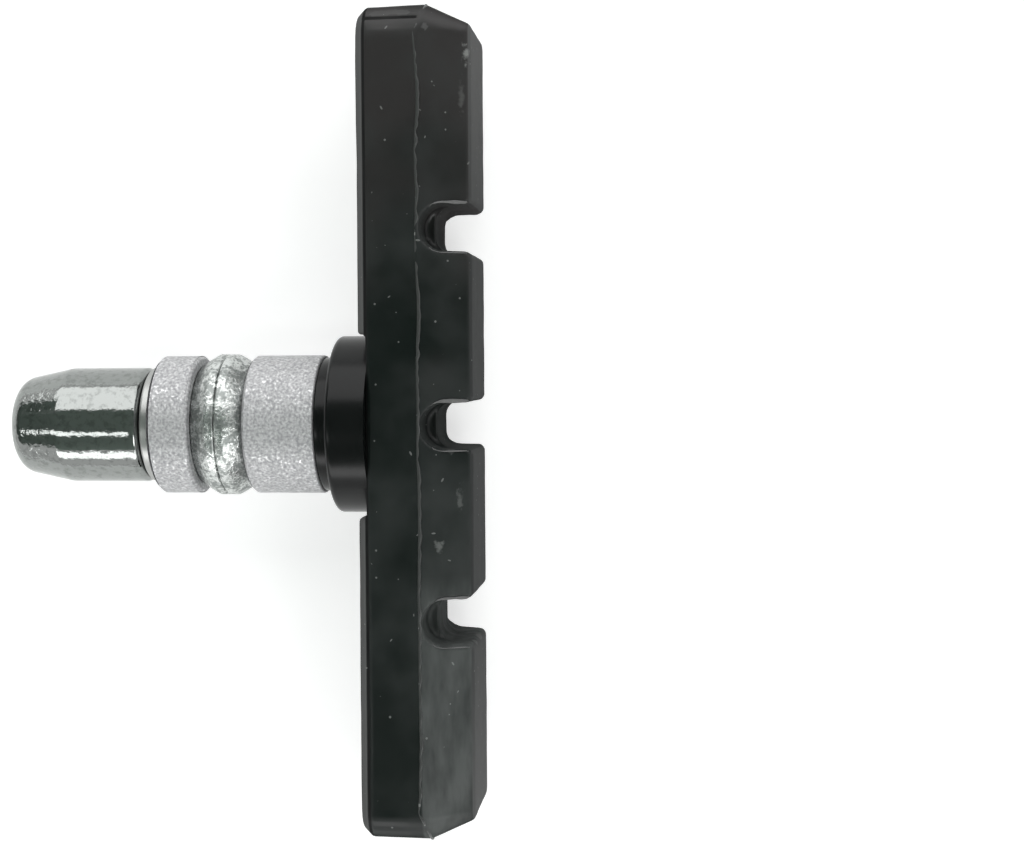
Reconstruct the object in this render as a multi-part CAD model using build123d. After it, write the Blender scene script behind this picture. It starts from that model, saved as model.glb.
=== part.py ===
"""Threaded-post brake shoe for a linear-pull bicycle rim brake, with its washers and nut.

Millimetres. The post runs along X: the friction face looks to +X and the nut end to -X.
The shoe's length runs along Y and its height along Z. The origin lies on the post's axis,
where the flat faces of the two ball washers meet and a brake arm is clamped.
"""
from build123d import *
from math import radians, sqrt, tan
import os

# Moulded shoe block
SHOE_LENGTH = 70.4
SHOE_HEIGHT = 13.0
SHOE_CORNER_RADIUS = 3.0
BACK_DEPTH = 5.15
BACK_DRAFT = 1.0
BACK_EDGE_CHAMFER = 0.75
FRICTION_DEPTH = 4.35
FRICTION_INSET = 1.8
FRICTION_CORNER_RADIUS = 0.8
FLANK_DRAFT = 23.0
END_DRAFT = 25.0
FRICTION_EDGE_RADIUS = 0.6

# Notches across the friction side, with a deeper pocket in each flank
NOTCH_COUNT = 3
NOTCH_PITCH = 16.5
NOTCH_WIDTH = 3.9
NOTCH_DEPTH = 3.25
NOTCH_CORNER_RADIUS = 1.3
POCKET_DEPTH = 4.2
WEB_HEIGHT = 6.0

# Collar between the shoe and the washers, in a seat cut across the back of the shoe
COLLAR_DIAMETER = 15.3
COLLAR_THICKNESS = 3.35
COLLAR_SUNK = 0.75
COLLAR_EDGE_RADIUS = 0.4
SPIGOT_DIAMETER = 11.6
SPIGOT_LENGTH = 1.25

# Ball washers and the cups that they turn in
BALL_DIAMETER = 12.3
BALL_RIM = 0.7
BALL_EDGE = 0.2
BALL_BORE = 8.0
SPHERE_RADIUS = 6.8
CUP_CLEARANCE = 0.05
CUP_DIAMETER = 12.0
CUP_RIM_WIDTH = 0.84
CUP_EDGE_RADIUS = 0.5
SPACER_LENGTH = 6.2
SPACER_BACK_RADIUS = 0.2
THIN_CUP_LENGTH = 3.6
THIN_CUP_BACK_RADIUS = 1.0

# Stud, flat washer and nut
STUD_DIAMETER = 6.0
STUD_END_CHAMFER = 0.6
WASHER_CLEARANCE = 0.25
THREAD_CLEARANCE = 0.05
FLAT_WASHER_DIAMETER = 10.0
FLAT_WASHER_THICKNESS = 0.9
FLAT_WASHER_EDGE = 0.2
NUT_DIAMETER = 10.0
NUT_LENGTH = 12.0
NUT_STRAIGHT = 7.3
NUT_TAPER = 12.0
NUT_TIP_RADIUS = 1.7
NUT_BASE_CHAMFER = 0.5
THREAD_ENGAGEMENT = 7.8
SOCKET_ACROSS_FLATS = 5.0
SOCKET_DEPTH = 3.8

# Steel carrier inside the block, with the stud riveted into it
CARRIER_LENGTH = 58.0
CARRIER_HEIGHT = 7.0
CARRIER_THICKNESS = 1.5
CARRIER_COVER = 1.0
TENON_DIAMETER = 4.8
RIVET_DIAMETER = 7.2
RIVET_HEIGHT = 0.9
RIVET_EDGE = 0.5

# Radii and stations along the post that follow from the sizes above
stud_radius = STUD_DIAMETER / 2
ball_radius = BALL_DIAMETER / 2
washer_bore = stud_radius + WASHER_CLEARANCE
nut_bore = stud_radius + THREAD_CLEARANCE
cup_radius = CUP_DIAMETER / 2
cup_mouth = cup_radius - CUP_RIM_WIDTH
cup_sphere = SPHERE_RADIUS + CUP_CLEARANCE
sphere_offset = sqrt(SPHERE_RADIUS**2 - ball_radius**2) - BALL_RIM
cup_face = sqrt(cup_sphere**2 - cup_mouth**2) - sphere_offset

spacer_end = cup_face + SPACER_LENGTH
collar_front = spacer_end + SPIGOT_LENGTH
collar_back = collar_front + COLLAR_THICKNESS
shoe_back = collar_back - COLLAR_SUNK
parting_plane = shoe_back + BACK_DEPTH
friction_face = parting_plane + FRICTION_DEPTH
carrier_back = collar_back + CARRIER_COVER
carrier_front = carrier_back + CARRIER_THICKNESS

flat_washer_face = cup_face + THIN_CUP_LENGTH
nut_base = flat_washer_face + FLAT_WASHER_THICKNESS
nut_tip = nut_base + NUT_LENGTH
stud_end = nut_base + THREAD_ENGAGEMENT
socket_floor = nut_tip - SOCKET_DEPTH

notch_places = [(index - (NOTCH_COUNT - 1) / 2) * NOTCH_PITCH for index in range(NOTCH_COUNT)]


def sphere_point(radius, height):
    """Where a sphere of this radius, on the ball washer's centre, stands this high above the axis."""
    return (sqrt(radius**2 - height**2) - sphere_offset, height)


def sphere_arc(radius, low, high):
    """Arc of a ball or cup section between two heights above the axis."""
    return ThreePointArc(
        sphere_point(radius, low),
        sphere_point(radius, (low + high) / 2),
        sphere_point(radius, high),
    )


def across_post(station):
    """Plane square to the post: its own x runs along the shoe and its own y up."""
    return Plane(origin=(station, 0, 0), x_dir=(0, 1, 0), z_dir=(1, 0, 0))


def corner_at(sketch, station, height):
    """The corner of a section that lies nearest to a station and a height."""
    return sketch.vertices().sort_by_distance(Vector(station, height, 0))[0]


def turned(section):
    """Solid of revolution round the post from a section drawn above the axis."""
    return revolve(section, axis=Axis.X)


def ball_washer():
    """Washer with a flat face to the brake arm and a ball face on the other side."""
    bore = BALL_BORE / 2
    with BuildSketch() as section:
        with BuildLine():
            sphere_arc(SPHERE_RADIUS, bore, ball_radius)
            Polyline(
                sphere_point(SPHERE_RADIUS, ball_radius),
                (BALL_EDGE, ball_radius),
                (0, ball_radius - BALL_EDGE),
                (0, bore),
                sphere_point(SPHERE_RADIUS, bore),
            )
        make_face()
    return turned(section.sketch)


def cup(length, back_radius):
    """Washer with a hollow face for the ball, and a flat back this far behind its rim."""
    back = cup_face + length
    with BuildSketch() as section:
        with BuildLine():
            sphere_arc(cup_sphere, washer_bore, cup_mouth)
            Polyline(
                (cup_face, cup_mouth),
                (cup_face, cup_radius),
                (back, cup_radius),
                (back, washer_bore),
                sphere_point(cup_sphere, washer_bore),
            )
        make_face()
        fillet(corner_at(section, cup_face, cup_radius), min(CUP_EDGE_RADIUS, 0.95 * CUP_RIM_WIDTH))
        fillet(corner_at(section, back, cup_radius), back_radius)
    return turned(section.sketch)


def flat_washer():
    """Plain ring under the nut."""
    outer = FLAT_WASHER_DIAMETER / 2
    with BuildSketch() as section:
        with BuildLine():
            Polyline(
                (-flat_washer_face, washer_bore),
                (-flat_washer_face, outer),
                (-nut_base, outer),
                (-nut_base, washer_bore),
                close=True,
            )
        make_face()
        for station in (-flat_washer_face, -nut_base):
            chamfer(corner_at(section, station, outer), FLAT_WASHER_EDGE)
    return turned(section.sketch)


def cap_nut():
    """Round nut with a tapered nose, threaded from its base and with a hex key socket in the nose."""
    outer = NUT_DIAMETER / 2
    shoulder = nut_base + NUT_STRAIGHT
    nose = outer - (nut_tip - shoulder) * tan(radians(NUT_TAPER))
    with BuildSketch() as section:
        with BuildLine():
            Polyline(
                (-nut_base, nut_bore),
                (-nut_base, outer - NUT_BASE_CHAMFER),
                (-nut_base - NUT_BASE_CHAMFER, outer),
                (-shoulder, outer),
                (-nut_tip, nose),
                (-nut_tip, 0),
                (-socket_floor, 0),
                (-socket_floor, nut_bore),
                close=True,
            )
        make_face()
        fillet(corner_at(section, -nut_tip, nose), NUT_TIP_RADIUS)
    with BuildSketch(across_post(-nut_tip)) as socket:
        RegularPolygon(SOCKET_ACROSS_FLATS / 2, 6, major_radius=False)
    return turned(section.sketch) - extrude(socket.sketch, amount=SOCKET_DEPTH)


def threaded_stud():
    """Post of the shoe: a plain major-diameter shank with a tenon riveted over the carrier."""
    tenon = TENON_DIAMETER / 2
    rivet = RIVET_DIAMETER / 2
    rivet_top = carrier_front + RIVET_HEIGHT
    with BuildSketch() as section:
        with BuildLine():
            Polyline(
                (-stud_end, 0),
                (-stud_end, stud_radius - STUD_END_CHAMFER),
                (-stud_end + STUD_END_CHAMFER, stud_radius),
                (carrier_back, stud_radius),
                (carrier_back, tenon),
                (carrier_front, tenon),
                (carrier_front, rivet),
                (rivet_top, rivet),
                (rivet_top, 0),
                close=True,
            )
        make_face()
        chamfer(corner_at(section, rivet_top, rivet), RIVET_EDGE)
    return turned(section.sketch)


def carrier_plate():
    """Steel strip with round ends and one hole for the stud's tenon."""
    with BuildSketch(across_post(carrier_back)) as outline:
        SlotOverall(CARRIER_LENGTH, CARRIER_HEIGHT)
        Circle(TENON_DIAMETER / 2, mode=Mode.SUBTRACT)
    return extrude(outline.sketch, amount=CARRIER_THICKNESS)


def seat_collar():
    """Round collar let into the back of the shoe, with a short spigot towards the washers."""
    outer = COLLAR_DIAMETER / 2
    spigot = SPIGOT_DIAMETER / 2
    with BuildSketch() as section:
        with BuildLine():
            Polyline(
                (spacer_end, stud_radius),
                (spacer_end, spigot),
                (collar_front, spigot),
                (collar_front, outer),
                (collar_back, outer),
                (collar_back, stud_radius),
                close=True,
            )
        make_face()
        fillet(corner_at(section, collar_front, outer), COLLAR_EDGE_RADIUS)
    return turned(section.sketch)


def moulded_prism():
    """Straight body of the shoe, drawn in a little towards its back."""
    growth = 2 * FRICTION_DEPTH * tan(radians(BACK_DRAFT))
    with BuildSketch(across_post(friction_face)) as outline:
        RectangleRounded(SHOE_LENGTH + growth, SHOE_HEIGHT + growth, SHOE_CORNER_RADIUS + growth / 2)
    return extrude(outline.sketch, amount=-BACK_DEPTH - FRICTION_DEPTH, taper=BACK_DRAFT)


def friction_wedge():
    """Slanted flanks and ends that run in to the friction face, carried on past the shoe's back."""
    face_length = SHOE_LENGTH - 2 * FRICTION_INSET
    face_height = SHOE_HEIGHT - 2 * FRICTION_DEPTH * tan(radians(FLANK_DRAFT))
    depth = BACK_DEPTH + FRICTION_DEPTH + COLLAR_THICKNESS
    flank_growth = 2 * depth * tan(radians(FLANK_DRAFT))
    end_growth = 2 * depth * tan(radians(END_DRAFT))
    with BuildSketch(across_post(friction_face)) as face:
        RectangleRounded(face_length, face_height, FRICTION_CORNER_RADIUS)
    with BuildSketch(across_post(friction_face - depth)) as foot:
        RectangleRounded(
            face_length + end_growth,
            face_height + flank_growth,
            FRICTION_CORNER_RADIUS + flank_growth / 2,
        )
    return loft([face.sketch, foot.sketch])


def notch_cutter(place):
    """Through slot with round corners, and the deeper round-ended pocket in each flank."""
    half = NOTCH_WIDTH / 2
    pocket_centre = friction_face - POCKET_DEPTH + half
    slot_floor = friction_face - NOTCH_DEPTH
    beyond = friction_face + half
    with BuildSketch() as slot:
        with Locations(((slot_floor + beyond) / 2, place)):
            Rectangle(beyond - slot_floor, NOTCH_WIDTH)
        floor_corners = slot.vertices().group_by(Axis.X)[0]
        fillet(floor_corners, NOTCH_CORNER_RADIUS)
    with BuildSketch(Plane.XY.offset(WEB_HEIGHT / 2)) as pocket:
        with Locations(((pocket_centre + beyond) / 2, place)):
            Rectangle(beyond - pocket_centre, NOTCH_WIDTH)
        with Locations((pocket_centre, place)):
            Circle(half)
    through = extrude(slot.sketch, amount=SHOE_HEIGHT, both=True)
    upper = extrude(pocket.sketch, amount=SHOE_HEIGHT)
    return through + upper + upper.mirror(Plane.XY)


def collar_seat():
    """Cut across the back of the shoe that the collar is set in."""
    with BuildSketch(across_post(collar_back)) as floor:
        Rectangle(COLLAR_DIAMETER, 2 * SHOE_HEIGHT)
    return extrude(floor.sketch, amount=-2 * COLLAR_SUNK)


def shoe_block(inserts):
    """Rubber block moulded round the carrier, the stud and the collar."""
    block = moulded_prism() & friction_wedge()
    back_edges = block.faces().sort_by(Axis.X)[0].edges()
    block = chamfer(back_edges, BACK_EDGE_CHAMFER) - collar_seat()
    for place in notch_places:
        block -= notch_cutter(place)
    faces = block.faces().filter_by_position(Axis.X, friction_face, friction_face)
    block = fillet(faces.edges(), FRICTION_EDGE_RADIUS)
    for insert in inserts:
        block -= insert
    return block


carrier = carrier_plate()
stud = threaded_stud()
collar = seat_collar()
inner_ball = ball_washer()

pieces = {
    "shoe_block": shoe_block([carrier, stud, collar]),
    "carrier_plate": carrier,
    "threaded_stud": stud,
    "seat_collar": collar,
    "thick_cup_spacer": cup(SPACER_LENGTH, SPACER_BACK_RADIUS),
    "inner_ball_washer": inner_ball,
    "outer_ball_washer": inner_ball.mirror(Plane.YZ),
    "thin_cup_washer": cup(THIN_CUP_LENGTH, THIN_CUP_BACK_RADIUS).mirror(Plane.YZ),
    "flat_washer": flat_washer(),
    "cap_nut": cap_nut(),
}

os.makedirs("parts", exist_ok=True)
for name, solid in pieces.items():
    export_step(solid, f"parts/{name}.step")
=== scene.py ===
"""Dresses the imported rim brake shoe: moulded rubber block, black collar, plated washers and chrome nut.

Lengths are in metres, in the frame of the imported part. The post runs along X with the friction face
at +X, the shoe's length runs along Y, and Z is up.
"""
import math
from functools import partial

import bmesh
import bpy
from bpy.props import FloatProperty, FloatVectorProperty, IntProperty, PointerProperty
from bpy.types import Operator, Panel, PropertyGroup
from mathutils import Matrix, Vector, noise
from mathutils.bvhtree import BVHTree


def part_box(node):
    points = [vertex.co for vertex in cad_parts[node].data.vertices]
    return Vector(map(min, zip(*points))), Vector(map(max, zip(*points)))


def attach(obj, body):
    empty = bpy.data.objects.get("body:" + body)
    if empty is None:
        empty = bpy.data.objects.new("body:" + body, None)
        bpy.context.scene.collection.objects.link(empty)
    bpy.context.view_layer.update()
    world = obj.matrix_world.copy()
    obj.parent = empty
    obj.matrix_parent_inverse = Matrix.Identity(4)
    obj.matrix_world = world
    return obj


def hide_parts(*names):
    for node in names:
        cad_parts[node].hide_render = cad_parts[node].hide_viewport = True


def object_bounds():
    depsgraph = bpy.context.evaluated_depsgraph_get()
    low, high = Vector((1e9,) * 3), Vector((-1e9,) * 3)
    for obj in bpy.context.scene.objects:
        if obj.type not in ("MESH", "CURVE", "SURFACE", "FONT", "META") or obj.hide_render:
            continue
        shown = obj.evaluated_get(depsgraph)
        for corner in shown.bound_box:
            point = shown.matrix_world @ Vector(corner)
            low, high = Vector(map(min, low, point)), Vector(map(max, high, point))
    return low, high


bl_info = {
    "name": "Rim brake shoe dresser",
    "version": (1, 0, 0),
    "blender": (4, 5, 0),
    "location": "3D View > Sidebar > Brake shoe",
    "description": "Gives the packed rim brake shoe its finished surfaces, its stage and its camera",
    "category": "Object",
}

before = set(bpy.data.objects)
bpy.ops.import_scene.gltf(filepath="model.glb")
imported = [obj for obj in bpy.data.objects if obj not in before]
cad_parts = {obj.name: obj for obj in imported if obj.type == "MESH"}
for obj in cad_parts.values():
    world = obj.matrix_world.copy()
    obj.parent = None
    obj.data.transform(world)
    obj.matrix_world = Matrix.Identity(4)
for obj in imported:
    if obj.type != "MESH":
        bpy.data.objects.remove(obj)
cad_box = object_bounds()

MM = 0.001
IMAGE_WIDTH = 1024
IMAGE_HEIGHT = 851
SENSOR_WIDTH = 36.0
SPIN_STEPS = 144
THREAD_STEPS = 48
MERGE_DISTANCE = 1e-7
RING_REACH = 1e-6

# Round face of the ball washers, and the room for it in the cups
BALL_RADIUS = 6.8 * MM
BALL_RIM = 0.7 * MM
BALL_CLEARANCE = 0.05 * MM

# Nut, its hex key socket and the riveted end of the stud
NUT_STRAIGHT = 7.3 * MM
NUT_TAPER = math.radians(12)
NUT_TIP_RADIUS = 1.7 * MM
NUT_TIP_STEPS = 24
NUT_CHAMFER = 0.5 * MM
SOCKET_FLATS = 5.0 * MM
SOCKET_DEPTH = 3.8 * MM
SOCKET_LEAD = 0.12 * MM
RIVET_EDGE = 0.5 * MM

# Thread: share of the pitch on either side of its crest, how deep its foot is sunk, and its low start
THREAD_CREST = 0.08
THREAD_FOOT = 0.1 * MM
THREAD_START = 0.05 * MM

# Rounded edges of the turned pieces
COLLAR_EDGE = 0.4 * MM
SPIGOT_EDGE = 0.12 * MM
CUP_EDGE = 0.5 * MM
BALL_EDGE = 0.2 * MM
WASHER_EDGE = 0.2 * MM
NUT_EDGE = 0.15 * MM

# Unevenness of the turned pieces: its height and the size of its waves
CUP_WAVES = (0.012 * MM, 1.2 * MM)
BALL_WAVES = (0.02 * MM, 0.9 * MM)
WASHER_WAVES = (0.01 * MM, 1.5 * MM)
NUT_WAVES = (0.006 * MM, 1.4 * MM)

# Slow and quick waves of the block's skin, and how near its faces the skin is drawn back onto them
SKIN_WAVES = (9 * MM, 2.2 * MM)
SKIN_REACH = 0.08 * MM

# Parting line: the bend across it and its place in the block's depth
PARTING_BEND = (math.radians(12), math.radians(40))
PARTING_DEPTH = (0.5, 0.64)

# Notches: how far along the block they reach, and the normals that tell a slanted flank from their walls
NOTCH_REACH = 0.8
FLANK_SLANT = 0.3
FLANK_LEVEL = 0.85
WALL_TURN = 0.5

# Beads: slow and quick waves along them, and how these change a bead's line and its thickness
BEAD_WAVES = (6 * MM, 0.8 * MM)
BEAD_STRAY = (1.0, 0.35)
BEAD_SWELL = (0.4, 0.55)

# Open beads: thickness at the ends, points over which it grows by one, and thickness of the -Y half
BEAD_END = 0.2
BEAD_END_POINTS = 7
BEAD_THIN_HALF = 0.4

# How far the flash is tucked in along the block's length and height
FLASH_TUCK = (0.998, 0.99)

# Straight back of the block, the last notch's far edge from the -Y end, and how the painted reflection's
# green fades along Y into paler rubber at the +Y end
BACK_DEPTH = 5.15 * MM
LAST_NOTCH_END = 20.6 * MM
REFLECTION_DRIFT = 0.011 / MM

# Where one finish of the block gives way to the next
WEAR_AND_SHEEN_BLEND = 2.4 * MM
PARTING_BLEND = 0.2 * MM
FACE_BLEND = (0.24 * MM, 0.16 * MM)
CHAMFER_HIGHLIGHT_BLEND = (0.66 * MM, 0.54 * MM)
SCORE_SHADE_BLEND = (0.17 * MM, 0.09 * MM)

# Painted shade in the groove at the nut's base, and the length over which its nose becomes pitted
NUT_SHADE_BLEND = (0.28 * MM, 0.16 * MM)
PITTED_LENGTH = 1.5 * MM

# Lines scored beside the back edge and the +Y end: their insets and half width, and how level their faces are
SCORE_INSET = 0.76 * MM
END_SCORE_INSET = 1.45 * MM
SCORE_REACH = 0.22 * MM
SCORE_LEVEL = 0.65

# Pale marks on one flank, partly scuffs and partly painted highlight: place and half sizes in millimetres,
# and how pale
SCUFFS_AND_HIGHLIGHTS = (
    ((21.55, 30.7, 5.0), (0.42, 1.15, 1.2), 0.5),
    ((21.1, 27.2, 5.1), (0.3, 1.7, 1.2), 0.12),
    ((20.8, -6.1, 5.2), (0.35, 1.3, 1.2), 0.16),
    ((19.0, -10.0, 5.9), (0.55, 0.6, 1.2), 0.26),
)


def linear(hex_colour):
    """Linear RGBA of an sRGB hex colour."""
    channels = [int(hex_colour[place:place + 2], 16) / 255 for place in (1, 3, 5)]
    return tuple(c / 12.92 if c <= 0.04045 else ((c + 0.055) / 1.055) ** 2.4 for c in channels) + (1.0,)


def colour_setting(name, description, hex_colour):
    """Colour property with a hex default."""
    return FloatVectorProperty(
        name=name, description=description, default=linear(hex_colour), subtype="COLOR", size=4, min=0, max=1
    )


def length_setting(name, description, millimetres):
    """Length property with a default in millimetres."""
    return FloatProperty(
        name=name, description=description, default=millimetres * MM, unit="LENGTH", subtype="DISTANCE",
        precision=5,
    )


def share_setting(name, description, share):
    """Property between nought and one."""
    return FloatProperty(name=name, description=description, default=share, min=0, max=1, subtype="FACTOR")


def number_setting(name, description, number):
    """Property of nought or more."""
    return FloatProperty(name=name, description=description, default=number, min=0)


def angle_setting(name, description, degrees):
    """Angle property with a default in degrees."""
    return FloatProperty(
        name=name, description=description, default=math.radians(degrees), unit="ROTATION", subtype="ANGLE"
    )


class RubberLook(PropertyGroup):
    """Surface of the moulded block and its collar."""

    # Dark rubber whose green tint is painted reflection of the green overhead card
    rubber: colour_setting("Rubber", "Colour of the moulded rubber", "#070f0d")
    # Paler rubber that the green gives way to towards the +Y end: painted reflection
    pale_end_rubber: colour_setting("Plain rubber", "Moulded rubber where it has no green cast", "#2e2c2c")
    bloom: colour_setting("Bloom", "Rubber where a grey bloom lies on it", "#242827")
    # Grey of the worn flanks: partly wear, partly painted sheen
    wear_and_sheen: colour_setting("Worn end", "Rubber of the worn flanks behind the last notch", "#474a49")
    face_rubber: colour_setting("Friction face", "Rubber of the matt friction face", "#343535")
    # Pale edges, chamfer and notch lips: painted highlight, partly rubbed wear
    rubbed_and_highlight: colour_setting("Rubbed edges", "Rubber along its rubbed edges", "#5c5c5c")
    # Painted shade in the lines scored into the straight back
    groove_shade: colour_setting("Groove", "Dirt in the lines scored into the straight back", "#020303")
    flash: colour_setting("Flash", "Rubber of the bead along the parting line", "#363837")
    dust: colour_setting("Dust", "Colour of the flecks on the rubber", "#a2a4a2")
    collar: colour_setting("Collar", "Colour of the seat collar", "#0b0d0d")
    roughness: share_setting("Rubber roughness", "How matt the clean rubber is", 0.33)
    skin_grid: length_setting("Skin grid", "Grid of the remeshed block", 0.2)
    skin_rounding: IntProperty(
        name="Skin rounding", description="Smoothing passes that round the moulded edges", default=3, min=0,
        max=20,
    )
    waviness: length_setting("Waviness", "Height of the slow waves in the moulded faces", 0.07)
    back_score: length_setting("Back score", "Depth of the lines scored into the straight back", 0.12)
    flash_radius: length_setting("Flash radius", "Radius of the bead along the mould's parting line", 0.13)
    flash_wander: length_setting("Flash wander", "How far the bead strays from the parting line", 0.3)
    lip_radius: length_setting("Lip radius", "Radius of the bead along the notches' edges", 0.14)


class MetalLook(PropertyGroup):
    """Plated washers, nut and stud."""

    chrome: colour_setting("Chrome", "Tint of the nut's chrome plate", "#8c8f8d")
    dull_chrome: colour_setting("Dull chrome", "Tint of the thin spots in the chrome plate", "#7a7d7b")
    # Painted shade in the groove under the nut
    nut_groove_shade: colour_setting("Grime", "Dirt in the groove under the nut", "#1c1e1d")
    zinc: colour_setting("Zinc", "Tint of the bright zinc", "#cdd0ce")
    dull_zinc: colour_setting("Dull zinc", "Tint of the dull patches in the zinc", "#8a8e8c")
    silver: colour_setting("Silver", "Tint of the bright grains of the matt cups", "#d2d2d3")
    dull_silver: colour_setting("Dull silver", "Tint of the dull grains of the matt cups", "#a8a8aa")
    steel: colour_setting("Steel", "Tint of the plain steel pieces", "#a3a4a2")
    chrome_roughness: share_setting("Chrome roughness", "How blurred the nut's reflections are", 0.06)
    thread_pitch: length_setting("Thread pitch", "Pitch of the stud's thread", 1.0)
    thread_depth: length_setting("Thread depth", "Height of the stud's thread", 0.6)


class StageLook(PropertyGroup):
    """Floor, lamps and camera."""

    floor: colour_setting("Floor", "Colour of the plain floor", "#d8d8d8")
    floor_glow: share_setting("Floor glow", "White that the eye and mirrors see on the floor", 0.61)
    overhead: colour_setting("Overhead card", "Colour of the dark card above the camera", "#95a19a")
    surround: share_setting("Surround", "Strength of the pale studio's light on the part", 0.6)
    key: number_setting("Key", "Radiance of the wide key panel", 1.55)
    strip: number_setting("Strip", "Radiance of the narrow strips", 3.4)
    side: number_setting("Side lamp", "Radiance of the lamp on the friction side", 6.5)
    camera_height: length_setting("Camera height", "Distance from the post to the camera", 145.0)
    camera_tilt: angle_setting("Camera tilt", "Turn of the camera about the shoe's length", 5.654)
    camera_lean: angle_setting("Camera lean", "Turn of the camera about the post", 2.139)
    camera_roll: angle_setting("Camera roll", "Turn of the picture about the line of sight", 0.33)
    focal_widths: number_setting("Focal length", "Focal length in picture widths", 1652.1 / IMAGE_WIDTH)
    origin_across: number_setting("Origin across", "Picture share left of the origin", 231.9 / IMAGE_WIDTH)
    origin_down: number_setting("Origin down", "Picture share above the origin", 424.2 / IMAGE_HEIGHT)


def set_inputs(node, inputs):
    """Sets a node's inputs by name or number, and links those that are given another node's output."""
    for key, value in inputs.items():
        if isinstance(value, bpy.types.NodeSocket):
            node.id_data.links.new(value, node.inputs[key])
        else:
            node.inputs[key].default_value = value


def add_node(tree, kind, inputs=None, out=0, **settings):
    """Adds a shader node with its settings and inputs, and gives one output, or all if out is None.

    A Mix of colours takes its share as input 0 and the colours as 6 and 7, and gives output 2.
    """
    node = tree.nodes.new("ShaderNode" + kind)
    for key, value in settings.items():
        setattr(node, key, value)
    set_inputs(node, inputs or {})
    return node.outputs if out is None else node.outputs[out]


def per_mm(size):
    """Pattern scale for a feature of this many millimetres."""
    return 1 / (size * MM)


def new_material(name, settings, *noises):
    """Material, its principled shader, add_node for its tree, the object's own coordinates and its noises.

    A noise is the size of its features in millimetres, its detail and its roughness.
    """
    material = bpy.data.materials.new(name)
    material.use_nodes = True
    shader = material.node_tree.nodes["Principled BSDF"]
    set_inputs(shader, settings)
    add = partial(add_node, material.node_tree)
    place = add("TexCoord", out="Object")
    made = [
        add("TexNoise", {"Vector": place, "Scale": per_mm(size), "Detail": detail, "Roughness": roughness})
        for size, detail, roughness in noises
    ]
    return material, shader, add, place, *made


def round_dots(add, place, size, start, reach):
    """Round dots of up to this reach, in those cells of this many millimetres that draw past the start."""
    cells = add("TexVoronoi", {"Vector": place, "Scale": per_mm(size)}, out=None)
    pick = add("SeparateColor", {"Color": cells["Color"]}, "Red")
    radius = add("MapRange", {"Value": pick, "From Min": start, "To Max": reach})
    return add("Math", {0: cells["Distance"], 1: radius}, operation="LESS_THAN")


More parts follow.
